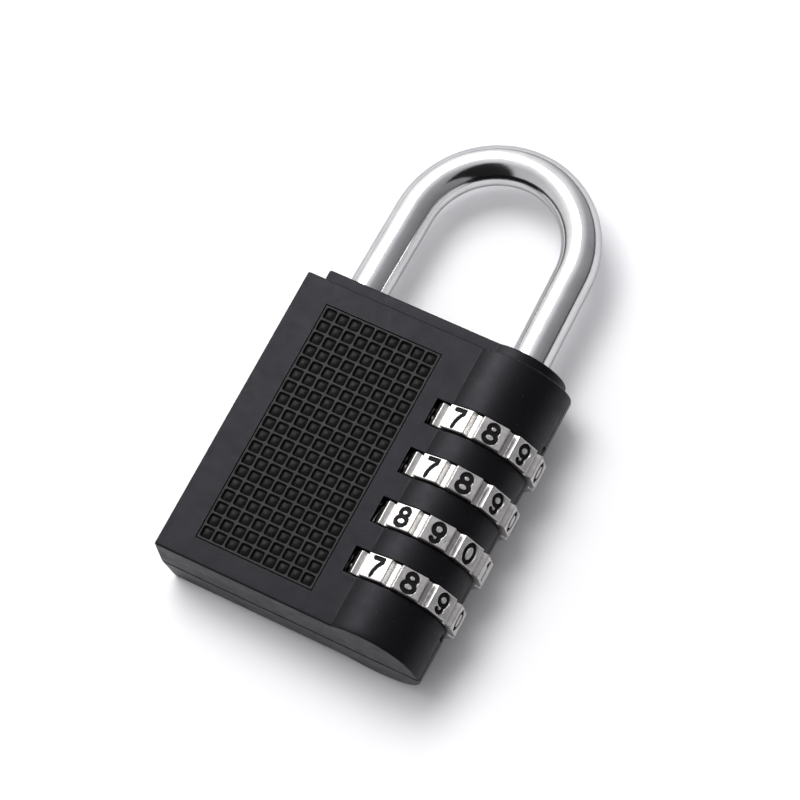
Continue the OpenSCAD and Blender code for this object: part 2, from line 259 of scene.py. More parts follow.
def groove(h):
    """How deep the groove along the parting line is at height h: its full depth on that line, none off it."""
    return SEAM_GROOVE * (h < 0.001)


def lifted(runs):
    """The same outline with its lowest points raised to the groove's edge."""
    return {name: [(x, max(h, SEAM_GROOVE)) for x, h in run] for name, run in runs.items()}


class ShellBuilder:
    """Lofts one shell along y: rings of the same outline are joined by quads, and where the outline changes
    the step between the two rings is one flat face. side is +1 for the front and -1 for the back."""

    def __init__(self, side):
        self.side = side
        self.points = []
        self.faces = []

    def ring(self, runs, y):
        """Adds a ring made of named runs of (x, h) points, and returns each run's vertex numbers."""
        numbers = {}
        for name, run in runs.items():
            run = np.asarray(run, float)
            ys = np.broadcast_to(y(run[:, 1]) if callable(y) else y, len(run))
            start = len(self.points)
            self.points += np.stack([run[:, 0], ys, self.side * run[:, 1]], 1).tolist()
            numbers[name] = list(range(start, start + len(run)))
        return numbers

    def join(self, first, second):
        """Quads between two rings with the same runs."""
        one = [i for run in first.values() for i in run]
        two = [i for run in second.values() for i in run]
        self.faces += strip(one, two)

    def step(self, outer, inner):
        """One flat face between two polylines that start and end at the same two points."""
        self.faces.append(tuple(outer) + tuple(reversed(inner)))

    def cap(self, ring):
        """One flat face over a whole ring."""
        self.faces.append(tuple(i for run in ring.values() for i in run))


def body_runs(inset=0.0, recess=0.0, heel=BORE_WIDE, toe="flat", depth=4.0, notch=SEAM_ROUND, tapered=False):
    """The whole outline of a shell between the dials."""
    return {
        "flat": flat_run(0.0 if tapered else inset, recess),
        "bulge": bulge_run(inset, notch, tapered),
        "right": [(SHOULDER_RIGHT, 0)],
        "heel": heel_bite(heel),
        "middle": [(HEEL_X - SLOT_R, 0)],
        "toe": toe_bite(toe, depth),
        "left": [(SHOULDER_SEAM_LEFT, 0)],
    }


def slot_runs(recess, depth):
    """The outline where a dial's slot takes the round side away."""
    wall = arc(HEEL_X, 0, SLOT_R, 180 - math.degrees(math.asin(HALF / SLOT_R)), 180, 16)
    return {
        "flat": flat_run(0.0, recess),
        "wall": wall,
        "toe": toe_bite("hollow", depth),
        "left": [(SHOULDER_SEAM_LEFT, 0)],
    }


EASE = np.radians(np.linspace(0, 90, 5))
SLOT_TURNS = np.radians([0, 30, 60, 90])


def rounded_bottom(build):
    """The bottom end with its rounded edge. Returns the last ring, as the functions below do."""
    last = build.ring(lifted(body_runs(END_ROUND, 0.0, 0)), lambda h: -lean(h))
    build.cap(last)
    for a in EASE:
        inset = END_ROUND * (1 - math.sin(a))
        rise = END_ROUND * (1 - math.cos(a))
        ring = build.ring(body_runs(inset, 0.0, 0),
                          lambda h, rise=rise: np.maximum(rise, groove(h)) - lean(h))
        build.join(last, ring)
        last = ring
    return last


def changed_outline(build, last, state, y, key, value):
    """Changes one setting of the outline at y, with a flat step between the rings before and after."""
    before = build.ring(body_runs(**state), y)
    build.join(last, before)
    state[key] = value
    after = build.ring(body_runs(**state), y)
    if key != "recess":
        build.step(before[key], after[key])
    elif build.side > 0:
        build.step(before["flat"][SEAT_POINTS], after["flat"][SEAT_POINTS])
    return after


def arrow_notch(build, last, state, y, away):
    """Arrow-shaped notch at the parting line, with its point beside the slot's edge at y. away is +1 towards
    the shackle and -1 towards the bottom."""
    tail = y + away * NOTCH_TAIL
    marks = [(y + away * NOTCH_TIP, SEAM_ROUND), (tail, NOTCH_DEEP), (tail + away * NOTCH_WALL, SEAM_ROUND)]
    for mark_y, notch in marks[::away]:
        ring = build.ring(body_runs(**state, notch=notch), mark_y)
        build.join(last, ring)
        last = ring
    return last


def slot_edge(build, state, y, away, a):
    """One ring of a slot's rounded edge, at the angle a of its quarter circle."""
    inset = SLOT_ROUND * (1 - math.cos(a))
    return build.ring(body_runs(inset, **state, tapered=True), y + away * SLOT_ROUND * (1 - math.sin(a)))


def round_side(ring):
    """The part of a ring that a slot takes away."""
    return [ring["flat"][-1]] + ring["bulge"] + ring["right"] + ring["heel"] + ring["middle"]


def dial_slot(build, last, state, low, high):
    """A dial's slot from low to high, with a rounded edge on both sides."""
    for a in SLOT_TURNS:
        ring = slot_edge(build, state, low, -1, a)
        build.join(last, ring)
        last = ring
    first = build.ring(slot_runs(state["recess"], state["depth"]), low)
    build.step(round_side(last), first["wall"])
    second = build.ring(slot_runs(state["recess"], state["depth"]), high)
    build.join(first, second)
    last = slot_edge(build, state, high, 1, SLOT_TURNS[-1])
    build.step(round_side(last), second["wall"])
    for a in SLOT_TURNS[-2::-1]:
        ring = slot_edge(build, state, high, 1, a)
        build.join(last, ring)
        last = ring
    return last


def shoulder_runs(inset):
    """The whole outline of a shell on the shoulder."""
    return {
        "edge": shoulder_run(inset),
        "heel": heel_bite(BORE_LEG),
        "middle": [(HEEL_X - SLOT_R, 0)],
        "toe": toe_bite("toe", 0),
    }


def rounded_top(build, last):
    """The top end with its rounded edge, the step in to the shoulder, and the shoulder's own rounded edge."""
    for a in EASE[::-1]:
        inset = END_ROUND * (1 - math.sin(a))
        rise = END_ROUND * (1 - math.cos(a))
        ring = build.ring(body_runs(inset, 0.0, BORE_LEG, "toe"),
                          lambda h, rise=rise: BODY_LEN + lean(h) - rise)
        build.join(last, ring)
        last = ring
    foot = build.ring(shoulder_runs(0.0), lambda h: BODY_LEN + lean(h))
    build.step(last["flat"] + last["bulge"] + last["right"], foot["edge"])
    last = foot
    for a in EASE[::-1]:
        inset = END_ROUND * (1 - math.sin(a))
        rise = END_ROUND * (1 - math.cos(a))
        ring = build.ring(shoulder_runs(inset), lambda h, rise=rise: SHOULDER_Y - np.maximum(rise, groove(h)))
        build.join(last, ring)
        last = ring
    top = build.ring(lifted(shoulder_runs(END_ROUND)), SHOULDER_Y)
    build.join(last, top)
    build.cap(top)


def shell(side):
    """One shell of the body, from the bottom end to the shoulder. The front one has the panel's seat."""
    build = ShellBuilder(side)
    last = rounded_bottom(build)
    state = {"recess": 0.0, "heel": 0, "toe": "flat", "depth": HOLLOW_DEPTH[side]}
    changes = {
        FLOOR_Y: ("heel", BORE_WIDE),
        HOLLOW_Y[0]: ("toe", "hollow"),
        RECESS_Y[0]: ("recess", RECESS_DEPTH if side > 0 else 0.0),
        SLEEVES_TOP: ("heel", BORE_LEG),
        HOLLOW_Y[1]: ("toe", "flat"),
        SHOULDER_Y - TOE_DEPTH - TOE_SPARE: ("toe", "toe"),
        RECESS_Y[1]: ("recess", 0.0),
    }
    slots = {DIAL_Y[n] - SLOT_W / 2: DIAL_Y[n] + SLOT_W / 2 for n in DIALS}
    for y in sorted([*changes, *slots]):
        if y in changes:
            last = changed_outline(build, last, state, y, *changes[y])
            continue
        if y == min(slots):
            last = arrow_notch(build, last, state, y, -1)
        last = dial_slot(build, last, state, y, slots[y])
        if y == max(slots):
            last = arrow_notch(build, last, state, slots[y], 1)
    rounded_top(build, last)
    return build


def shells():
    """Both halves of the body."""
    paint = black_paint("black paint")
    for name, side in (("front_shell", 1), ("back_shell", -1)):
        build = shell(side)
        piece = finish_piece(name + "_look", build.points, build.faces, paint, "body",
                             weighted=True)
        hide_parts(name)


# ---------------------------------------------------------------- grip panel
PANEL_TOP = HALF - RECESS_DEPTH + PANEL_T
PIT_DEPTH = 0.42
PIT_CORNER = 0.3
PIT_WALL = 0.16
BUMP = 0.3
PANEL_EDGE = 0.06


def soft_step(t):
    """0 below 0, 1 above 1 and a smooth step between."""
    t = np.clip(t, 0, 1)
    return t * t * (3 - 2 * t)


def panel_axis(pitch, count):
    """Sample lines across the panel: close together at each rib and wider apart in each pit."""
    near = np.array([0, 0.13, 0.18, 0.225, 0.29, 0.42, 0.64, 0.86])
    cell = np.concatenate([near, [pitch / 2], (pitch - near[::-1])[:-1]])
    lines = np.concatenate([RIB_W / 2 + i * pitch + cell for i in range(count)])
    end = pitch * count + RIB_W
    return np.concatenate([[0, 0.05, 0.1], lines, [end - RIB_W / 2, end - 0.1, end - 0.05, end]])


def pit_share(u, v, a, b):
    """0 on a rib and 1 inside a pit with round corners; u and v are measured from the pit's middle, and a and
    b are half its sizes: a smooth step of the distance to the rounded rectangle."""
    qu = np.abs(u) - (a - PIT_CORNER)
    qv = np.abs(v) - (b - PIT_CORNER)
    outside = np.hypot(np.maximum(qu, 0), np.maximum(qv, 0))
    inside = np.minimum(np.maximum(qu, qv), 0)
    return soft_step((PIT_CORNER - outside - inside) / PIT_WALL + 0.15)


def grip_panel():
    """Plate of pits with a soft four-sided bump in each: height = top - depth * pit + bump * (1 - n^2), where
    n is the fourth root of the sum of the two distances' fourth powers, each as a share of half the pit."""
    xs = panel_axis(CELL[0], CELLS[0])
    ys = panel_axis(CELL[1], CELLS[1])
    x, y = np.meshgrid(xs, ys)
    a, b = (CELL[0] - RIB_W) / 2, (CELL[1] - RIB_W) / 2
    u = (x - RIB_W / 2) % CELL[0] - CELL[0] / 2
    v = (y - RIB_W / 2) % CELL[1] - CELL[1] / 2
    outer = (x < RIB_W / 2) | (x > PANEL_W - RIB_W / 2) | (y < RIB_W / 2) | (y > PANEL_H - RIB_W / 2)
    pit = np.where(outer, 0, pit_share(u, v, a, b))
    n = ((np.abs(u) / a) ** 4 + (np.abs(v) / b) ** 4) ** 0.25
    edge = np.minimum(np.minimum(x, PANEL_W - x), np.minimum(y, PANEL_H - y))
    height = PANEL_TOP - PIT_DEPTH * pit + BUMP * pit * np.clip(1 - n**2, 0, 1)
    height = height - np.maximum(PANEL_EDGE - edge, 0)
    rows, cols = x.shape
    top = np.stack([x + PANEL_MID[0] - PANEL_W / 2, y + PANEL_MID[1] - PANEL_H / 2, height], -1)
    top = top.reshape(-1, 3)
    grid = np.arange(rows * cols).reshape(rows, cols)
    faces = grid_faces(grid)
    rim = np.concatenate([grid[0, :-1], grid[:-1, -1], grid[-1, :0:-1], grid[:0:-1, 0]])
    low = top[rim].copy()
    low[:, 2] = HALF - RECESS_DEPTH
    under = len(top) + np.arange(len(rim))
    faces += strip(rim.tolist(), under.tolist()) + [tuple(under.tolist())]
    material = panel_material("panel")
    piece = finish_piece("grip_panel_look", np.concatenate([top, low]), faces, material, "body", 60)
    # the pit share also tells the panel's material where to paint shade into the pits
    add_attribute(piece, "pit", np.concatenate([pit.ravel(), np.zeros(len(rim))]))
    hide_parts("grip_panel")


def grid_faces(grid, wrap=False):
    """Quads over a grid of vertex numbers; wrap closes its second direction."""
    nxt = np.roll(grid, -1, axis=1) if wrap else grid[:, 1:]
    cur = grid if wrap else grid[:, :-1]
    return np.stack([cur[:-1], nxt[:-1], nxt[1:], cur[1:]], -1).reshape(-1, 4).tolist()


def add_attribute(piece, name, values):
    """Stores one number per vertex, for the material to read."""
    layer = piece.data.attributes.new(name, "FLOAT", "POINT")
    layer.data.foreach_set("value", np.asarray(values, np.float32))


# ---------------------------------------------------------------- dials
DIGIT_H = 3.45
STROKE = 0.68
ENGRAVED = 0.3
RIM = 0.2
DIAL_BORE = 4.7
BORE_EDGE = 0.1
SIDE_R = 7.4  # a ring on each side of a dial, which keeps its flat sides' faces even
TOP = (DIGIT_H - STROKE) / 2
FIRST_DIGIT = {1: 8, 2: 8, 3: 9, 4: 8}
FACE_STEP = 360 / FACES
EDGE_SOFT = 0.35  # degrees over which a groove's edges are rounded, each way
ENGRAVED_WALL = 0.07
FACE_SAMPLES = 84
ACROSS_SAMPLES = 54


def oval(cx, cy, rx, ry, start, end, count=24):
    """Points on an ellipse, the angles in degrees from the right."""
    a = np.radians(np.linspace(start, end, count))
    return np.stack([cx + rx * np.cos(a), cy + ry * np.sin(a)], 1)


def join_points(*parts):
    """One list of points from single points and lists of points."""
    return np.concatenate([np.atleast_2d(np.asarray(p, float)) for p in parts])


def digit_strokes(digit):
    """Centre lines of a plain round-ended digit, in millimetres about its middle."""
    tail = join_points(oval(-0.75, TOP - 0.83, 1.57, 1.55, 0, -38, 8),
                       oval(-0.02, -TOP + 0.62, 0.62, 0.62, -28, -150, 10))
    nine = [oval(0, TOP - 0.83, 0.82, 0.83, 0, 360), tail]
    shapes = {
        0: [oval(0, 0, 0.88, TOP, 0, 360)],
        1: [join_points((-0.5, TOP - 0.55), (0.15, TOP), (0.15, -TOP))],
        2: [join_points(oval(0, TOP - 0.8, 0.8, 0.8, 165, -35, 16), (-0.85, -TOP), (0.88, -TOP))],
        3: [oval(-0.05, TOP - 0.7, 0.72, 0.7, 150, -90, 16),
            oval(-0.05, -TOP + 0.76, 0.85, 0.76, 90, -150, 18)],
        4: [join_points((0.4, -TOP), (0.4, TOP), (-0.9, -0.55), (0.95, -0.55))],
        5: [join_points((0.72, TOP), (-0.58, TOP), (-0.72, 0.1),
                        oval(-0.02, -TOP + 0.9, 0.88, 0.9, 125, -145, 20))],
        6: [-stroke for stroke in nine],
        7: [join_points((-0.8, TOP), (0.78, TOP), oval(2.0, -TOP, 2.15, 2 * TOP, 125, 180, 10))],
        8: [oval(0, TOP - 0.65, 0.74, 0.65, 0, 360), oval(0, -TOP + 0.74, 0.94, 0.74, 0, 360)],
        9: nine,
    }
    return shapes[digit]


def stroke_distance(points, strokes):
    """Distance from each point to the nearest centre line: the least distance to any straight part."""
    best = np.full(len(points), 9.0)
    for stroke in strokes:
        a, b = stroke[:-1], stroke[1:]
        d = b - a
        t = ((points[:, None] - a) * d).sum(-1) / np.maximum((d * d).sum(-1), 1e-9)
        nearest = a + np.clip(t, 0, 1)[..., None] * d
        best = np.minimum(best, np.linalg.norm(points[:, None] - nearest, axis=-1).min(1))
    return best


def dial_profile(angle):
    """Radius of a dial at an angle in degrees from a face's middle: a flat face, a straight wall down to the
    groove's flat floor. A flat part is its distance / cos(angle between)."""
    half = FACE_STEP / 2
    a = np.abs((angle + half) % FACE_STEP - half)
    face = DIAL_R * math.cos(math.radians(FACE_HALF)) / np.cos(np.radians(a))
    low_r = DIAL_R - GROOVE_DEPTH
    floor = low_r * math.cos(math.radians(GROOVE_HALF)) / np.cos(np.radians(half - a))
    share = np.clip((a - FACE_HALF) / (half - GROOVE_HALF - FACE_HALF), 0, 1)
    wall = DIAL_R + (low_r - DIAL_R) * share
    return np.where(a < FACE_HALF, face, np.where(a > half - GROOVE_HALF, floor, wall))


def dial_angles():
    """Sample angles round a dial, close together over the digits and at the groove's edges."""
    face = np.linspace(-FACE_HALF, FACE_HALF, FACE_SAMPLES)
    down = np.array([12.7, 13.1, 13.7, 14.3, 14.9, 15.3, 15.7, 16.4, 17.2])
    one = np.concatenate([face, down, [FACE_STEP / 2], FACE_STEP - down[::-1]])
    return np.concatenate([one + FACE_STEP * (k + 0.5) for k in range(FACES)])


def dial_ink(n, from_face, across):
    """1 at each grid point in an engraved digit and 0 outside: a smooth step of the distance to its stroke.
    from_face is the angle in degrees from the middle of the grid's first face."""
    ink = np.zeros((len(across), len(from_face)))
    for k in range(FACES):
        first = k * len(from_face) // FACES
        cols = slice(first, first + FACE_SAMPLES)
        along = DIAL_R * math.cos(math.radians(FACE_HALF))
        along = along * np.tan(np.radians(from_face[cols] - FACE_STEP * k))
        x, y = np.meshgrid(along, across)
        strokes = digit_strokes((FIRST_DIGIT[n] + k) % 10)
        d = stroke_distance(np.stack([x.ravel(), y.ravel()], 1), strokes).reshape(x.shape)
        ink[:, cols] = soft_step((STROKE / 2 - d) / ENGRAVED_WALL + 0.5)
    return ink


def dial_sides(n, a):
    """Three rings on each flat side of a dial, from its edge in to the bore."""
    rings = []
    for sign in (-1, 1):
        for r, back in ((SIDE_R, 0.0), (DIAL_BORE + BORE_EDGE, 0.0), (DIAL_BORE, BORE_EDGE)):
            y = np.full(len(a), DIAL_Y[n] + sign * DIAL_W / 2 - sign * back)
            rings.append(np.stack([HEEL_X + r * np.sin(a), y, r * np.cos(a)], -1))
    return rings


def dial(n, material):
    """One dial: radius = profile - rim rounding - engraving, on a grid of angle and place across it."""
    theta = dial_angles()
    from_face = theta - FACE_STEP / 2
    across = [[-1, -0.985, -0.96, -0.93], np.linspace(-0.9, 0.9, ACROSS_SAMPLES), [0.93, 0.96, 0.985, 1]]
    across = np.concatenate(across) * DIAL_W / 2
    profile = sum(dial_profile(from_face + turn) for turn in (-EDGE_SOFT, 0, EDGE_SOFT)) / 3
    edge = DIAL_W / 2 - np.abs(across)
    rounding = RIM - np.sqrt(np.maximum(RIM**2 - np.maximum(RIM - edge, 0) ** 2, 0))
    ink = dial_ink(n, from_face, across)
    radius = profile[None] - rounding[:, None] - ENGRAVED * ink
    a = np.radians(theta)
    y = np.broadcast_to(across[:, None] + DIAL_Y[n], radius.shape)
    outer = np.stack([HEEL_X + radius * np.sin(a), y, radius * np.cos(a)], -1).reshape(-1, 3)
    grid = np.arange(len(outer)).reshape(radius.shape)
    faces = grid_faces(grid, wrap=True)
    rings = dial_sides(n, a)
    number = [(len(outer) + i * len(a) + np.arange(len(a))).tolist() for i in range(len(rings))]
    order = [grid[0].tolist(), *number[:3], *number[:2:-1], grid[-1].tolist()]
    for first, second in zip(order, order[1:]):
        faces += strip(first, second)
    piece = finish_piece(f"dial_{n}_look", np.concatenate([outer] + rings), faces, material,
                         f"dial_{n}", 50)
    add_attribute(piece, "ink", np.concatenate([ink.ravel(), np.zeros(len(rings) * len(a))]))
    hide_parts(f"dial_{n}")


# ---------------------------------------------------------------- shackle
KNEE_Y = SHOULDER_Y + 1.1
BOW_Y = SHOULDER_Y + BOW_RISE
BOW_R = LEG_PITCH / 2 * math.cos(LEG_LEAN) - (BOW_Y - KNEE_Y) * math.sin(LEG_LEAN)
TOE_END = SHOULDER_Y - TOE_DEPTH
TOE_CHAMFER = 0.8
STEM_R = 2.25
STEM_END = 1.4
STEM_CHAMFER = 0.3
LAND_Y = DIAL_Y[1] + 2.4
SPRING_BORE = 1.2
SPRING_TOP = 12.8
SPRING_CHAMFER = 0.1
CLIP_SEAT = 1.8
CLIP_PLAY = 0.03
LIP_UP = 1.3
LIP_T = 1.2
FIN_GAP = 0.35
FIN_H = 1.6
FIN_W = 1.8
FIN_ROOT = 1.9  # how far from the stem's axis a fin starts
BEND_GAP = 0.5  # kept free of rings on both sides of a knee
BAR_SIDES = 96


def stem_rings():
    """Centre, direction and radius of each ring of the stem, from the spring's bore to the land."""
    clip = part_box("retaining_clip")
    clip_low = float(clip[0][1] - DATUM[1]) / MM - CLIP_PLAY
    clip_high = float(clip[1][1] - DATUM[1]) / MM + CLIP_PLAY
    stem = [(SPRING_TOP, 0.0), (SPRING_TOP, SPRING_BORE), (STEM_END + SPRING_CHAMFER, SPRING_BORE),
            (STEM_END, SPRING_BORE + SPRING_CHAMFER), (STEM_END, STEM_R - STEM_CHAMFER),
            (STEM_END + STEM_CHAMFER, STEM_R), (clip_low, STEM_R), (clip_low, CLIP_SEAT),
            (clip_high, CLIP_SEAT), (clip_high, STEM_R), (LAND_Y, STEM_R),
            (LAND_Y, BAR_R - STEM_CHAMFER), (LAND_Y + STEM_CHAMFER, BAR_R)]
    return [((HEEL_X, y), 90.0, r) for y, r in stem]


def bar_rings():
    """The rings of the whole bar: up the stem and the heel leg, round the bow and down to the toe's end."""
    rings = stem_rings()
    rings += [((HEEL_X, y), 90.0, BAR_R) for y in np.linspace(LAND_Y + 1, KNEE_Y - BEND_GAP, 14)]
    turn = math.degrees(LEG_LEAN)
    share = np.linspace(0, 1, 12)[1:-1]
    start = (MID_X + BOW_R * math.cos(LEG_LEAN), BOW_Y + BOW_R * math.sin(LEG_LEAN))
    rings += [((HEEL_X + (start[0] - HEEL_X) * t, KNEE_Y + (start[1] - KNEE_Y) * t), 90 + turn, BAR_R)
              for t in share]
    for a in np.linspace(turn, 180 - turn, 73):
        rad = math.radians(a)
        rings.append(((MID_X + BOW_R * math.cos(rad), BOW_Y + BOW_R * math.sin(rad)), a + 90, BAR_R))
    end = (2 * MID_X - start[0], start[1])
    rings += [((end[0] + (TOE_X - end[0]) * t, end[1] + (KNEE_Y - end[1]) * t), 270 - turn, BAR_R)
              for t in share]
    rings += [((TOE_X, y), 270.0, BAR_R) for y in np.linspace(KNEE_Y - BEND_GAP, TOE_END + TOE_CHAMFER, 8)]
    rings += [((TOE_X, TOE_END), 270.0, BAR_R - TOE_CHAMFER), ((TOE_X, TOE_END), 270.0, 0.0)]
    return rings


def fin_block(n):
    """One fin: a block from inside the stem out to the bar's radius, with a round outer face."""
    top = DIAL_Y[n] + LIP_UP - LIP_T / 2 - FIN_GAP
    half = math.degrees(math.asin(FIN_W / 2 / BAR_R))
    outer = arc(HEEL_X, 0, BAR_R, 180 - half, 180 + half, 9)
    root_x = HEEL_X - FIN_ROOT
    section = np.concatenate([outer, [(root_x, -FIN_W / 2), (root_x, FIN_W / 2)]])
    k = len(section)
    points = np.concatenate([np.stack([section[:, 0], np.full(k, y), section[:, 1]], 1)
                             for y in (top - FIN_H, top)])
    faces = strip(list(range(k)), list(range(k, 2 * k))) + [tuple(range(k)), tuple(range(k, 2 * k))]
    return points, faces


def shackle(material):
    """The bar is a circle swept along a plane path: point = centre + r * (cos b * across + sin b * up)."""
    b = np.linspace(0, 2 * np.pi, BAR_SIDES, endpoint=False)
    points = []
    for (x, y), heading, r in bar_rings():
        rad = math.radians(heading)
        across = np.array([math.sin(rad), -math.cos(rad), 0])
        up = np.array([0, 0, 1])
        points.append(np.array([x, y, 0]) + r * (np.cos(b)[:, None] * across + np.sin(b)[:, None] * up))
    count = len(points)
    points = np.concatenate(points)
    faces = grid_faces(np.arange(count * BAR_SIDES).reshape(count, BAR_SIDES), wrap=True)
    for n in DIALS:
        block, block_faces = fin_block(n)
        start = len(points)
        points = np.concatenate([points, block])
        faces += [tuple(i + start for i in face) for face in block_faces]
    piece = finish_piece("shackle_look", points, faces, material, "shackle", 40)
    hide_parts("shackle")


# ---------------------------------------------------------------- materials
class Nodes:
    """Shorthand for building a node tree: every call adds one node and returns it."""

    def __init__(self, name, world=False):
        self.owner = bpy.data.worlds.new(name) if world else bpy.data.materials.new(name)
        self.owner.use_nodes = True
        self.tree = self.owner.node_tree
        self.tree.nodes.clear()

    def add(self, kind, **settings):
        node = self.tree.nodes.new("ShaderNode" + kind)
        for key, value in settings.items():
            setattr(node, key, value)
        return node

    def link(self, out, socket):
        self.tree.links.new(out, socket)

    def coords(self):
        return self.add("TexCoord").outputs["Object"]

    def noise(self, vector, per_mm, detail=3.0, roughness=0.55):
        node = self.add("TexNoise")
        self.link(vector, node.inputs["Vector"])
        node.inputs["Scale"].default_value = per_mm / MM
        node.inputs["Detail"].default_value = detail
        node.inputs["Roughness"].default_value = roughness
        return node.outputs["Fac"]

    def ramp(self, value, low, high, to_low=0.0, to_high=1.0):
        node = self.add("MapRange")
        self.link(value, node.inputs["Value"])
        for key, number in (("From Min", low), ("From Max", high), ("To Min", to_low), ("To Max", to_high)):
            node.inputs[key].default_value = number
        return node.outputs["Result"]

    def smooth(self, value, low, high, to_low=0.0, to_high=1.0):
        result = self.ramp(value, low, high, to_low, to_high)
        result.node.interpolation_type = "SMOOTHSTEP"
        return result

    def mix(self, factor, first, second):
        """Colour mix; first and second are colours or sockets."""
        node = self.add("Mix", data_type="RGBA")
        self.link(factor, node.inputs["Factor"])
        for socket, value in ((node.inputs["A"], first), (node.inputs["B"], second)):
            if isinstance(value, tuple):
                socket.default_value = (*value, 1.0)
            else:
                self.link(value, socket)
        return node.outputs["Result"]

    def maths(self, operation, first, second):
        node = self.add("Math", operation=operation)
        for socket, value in zip(node.inputs, (first, second)):
            if isinstance(value, (int, float)):
                socket.default_value = value
            else:
                self.link(value, socket)
        return node.outputs[0]

    def bump(self, height, depth_mm, strength=1.0):
        node = self.add("Bump")
        node.inputs["Strength"].default_value = strength
        node.inputs["Distance"].default_value = depth_mm * MM
        self.link(height, node.inputs["Height"])
        return node.outputs["Normal"]

    def edges(self, width_mm):
        """1 on an edge and 0 on a flat face: how far a rounded normal is from the true one."""
        bevel = self.add("Bevel", samples=4)
        bevel.inputs["Radius"].default_value = width_mm * MM
        dot = self.add("VectorMath", operation="DOT_PRODUCT")
        self.link(bevel.outputs["Normal"], dot.inputs[0])
        self.link(self.add("NewGeometry").outputs["Normal"], dot.inputs[1])
        return self.ramp(dot.outputs["Value"], 0.995, 0.8)

    def surface(self, color, metallic, roughness, normal=None, specular=0.5, edge=(1.0, 1.0, 1.0)):
        bsdf = self.add("BsdfPrincipled")
        values = (("Base Color", color), ("Metallic", metallic), ("Roughness", roughness),
                  ("Specular IOR Level", specular), ("Specular Tint", edge))
        for key, value in values:
            if isinstance(value, tuple):
                bsdf.inputs[key].default_value = (*value, 1.0)
            elif isinstance(value, (int, float)):
                bsdf.inputs[key].default_value = value
            else:
                self.link(value, bsdf.inputs[key])
        if normal is not None:
            self.link(normal, bsdf.inputs["Normal"])
        out = self.add("OutputMaterial")
        self.link(bsdf.outputs[0], out.inputs["Surface"])
        return self.owner


def black_paint(name):
    """Satin black paint: slow colour drift, fine grain, tiny specks of dust, thin paint on the edges, and a
    painted lilac cast on its reflections.
    """
    m = Nodes(name)
    at = m.coords()
    drift = m.ramp(m.noise(at, 0.12, 2), 0.3, 0.7)
    base = m.mix(drift, (0.0012, 0.0012, 0.0014), (0.0022, 0.0022, 0.0025))
    specks = m.ramp(m.noise(at, 3.5, 1), 0.74, 0.78)
    base = m.mix(m.maths("MULTIPLY", specks, 0.35), base, (0.12, 0.12, 0.12))
    worn = m.maths("MULTIPLY", m.edges(0.25), m.ramp(m.noise(at, 0.9, 3), 0.45, 0.7, 0.05, 0.4))
    base = m.mix(worn, base, (0.05, 0.05, 0.05))
    rough = m.ramp(m.noise(at, 0.5, 4), 0.3, 0.7, 0.40, 0.5)
    # painted reflection: the shine is tinted lilac, a colour of reflected light given to the paint itself
    return m.surface(base, 0.0, rough, m.bump(m.noise(at, 6, 3), 0.012), 0.175, (0.87, 0.845, 0.95))


def panel_material(name):
    """Moulded black panel: ribs as grey as the body, pits painted darker as shade in the recesses, and a fine
    grain.
    """
    m = Nodes(name)
    at = m.coords()
    pit = m.add("Attribute", attribute_name="pit").outputs["Fac"]
    drift = m.ramp(m.noise(at, 0.3, 3), 0.3, 0.7)
    # painted shade: the pits get a darker colour than the ribs, standing in for the shade that falls in the
    # recesses
    rib = m.mix(drift, (0.004, 0.004, 0.0045), (0.008, 0.008, 0.0085))
    dark = m.mix(drift, (0.0015, 0.0015, 0.0016), (0.003, 0.003, 0.0032))
    base = m.mix(pit, rib, dark)
    rough = m.ramp(m.noise(at, 1.2, 3), 0.3, 0.7, 0.38, 0.52)
    shine = m.ramp(pit, 0, 1, 0.17, 0.1)
    return m.surface(base, 0.0, rough, m.bump(m.noise(at, 5, 3), 0.015), shine)


def dial_metal(name):
    """Plated casting with black paint in the digits: soft mottling, spots of grime and brighter edges."""
    m = Nodes(name)
    at = m.coords()
    ink = m.ramp(m.add("Attribute", attribute_name="ink").outputs["Fac"], 0.3, 0.7)
    mottle = m.ramp(m.noise(at, 0.8, 4), 0.3, 0.7)
    silver = m.mix(mottle, (0.42, 0.41, 0.395), (0.56, 0.55, 0.535))
    silver = m.mix(m.maths("MULTIPLY", m.edges(0.15), 0.8), silver, (0.74, 0.74, 0.73))
    grime = m.ramp(m.noise(at, 2.2, 2), 0.70, 0.76, 0.0, 0.7)
    silver = m.mix(grime, silver, (0.06, 0.055, 0.05))
    base = m.mix(ink, silver, (0.008, 0.008, 0.009))
    metallic = m.ramp(ink, 0, 1, 1, 0)
    rough = m.mix(ink, (0.36, 0.36, 0.36), (0.5, 0.5, 0.5))
    rough = m.maths("MULTIPLY", rough, m.ramp(m.noise(at, 2.5, 3), 0.3, 0.7, 0.85, 1.15))
    shine = m.ramp(ink, 0, 1, 0.5, 0.06)
    return m.surface(base, metallic, rough, m.bump(m.noise(at, 3, 4), 0.03), shine)


def chrome(name):
    """Bright plating with a faint haze, fine wipe marks along the bar, and a lilac edge tint that paints the
    shaded floor's reflection into the bar's rims.
    """
    m = Nodes(name)
    at = m.coords()
    haze = m.ramp(m.noise(at, 0.25, 3), 0.3, 0.7)
    base = m.mix(haze, (0.54, 0.54, 0.54), (0.62, 0.62, 0.615))
    stretched = m.add("Mapping")
    stretched.inputs["Scale"].default_value = (1.0, 0.15, 1.0)
    m.link(at, stretched.inputs["Vector"])
    rough = m.ramp(m.noise(stretched.outputs[0], 4, 3), 0.3, 0.75, 0.11, 0.18)
    # painted reflection: the lilac, darker edge tint stands in for the shaded floor that the bar's rims
    # reflect
    return m.surface(base, 1.0, rough, m.bump(m.noise(at, 1.5, 3), 0.004), 0.5, (0.56, 0.55, 0.58))


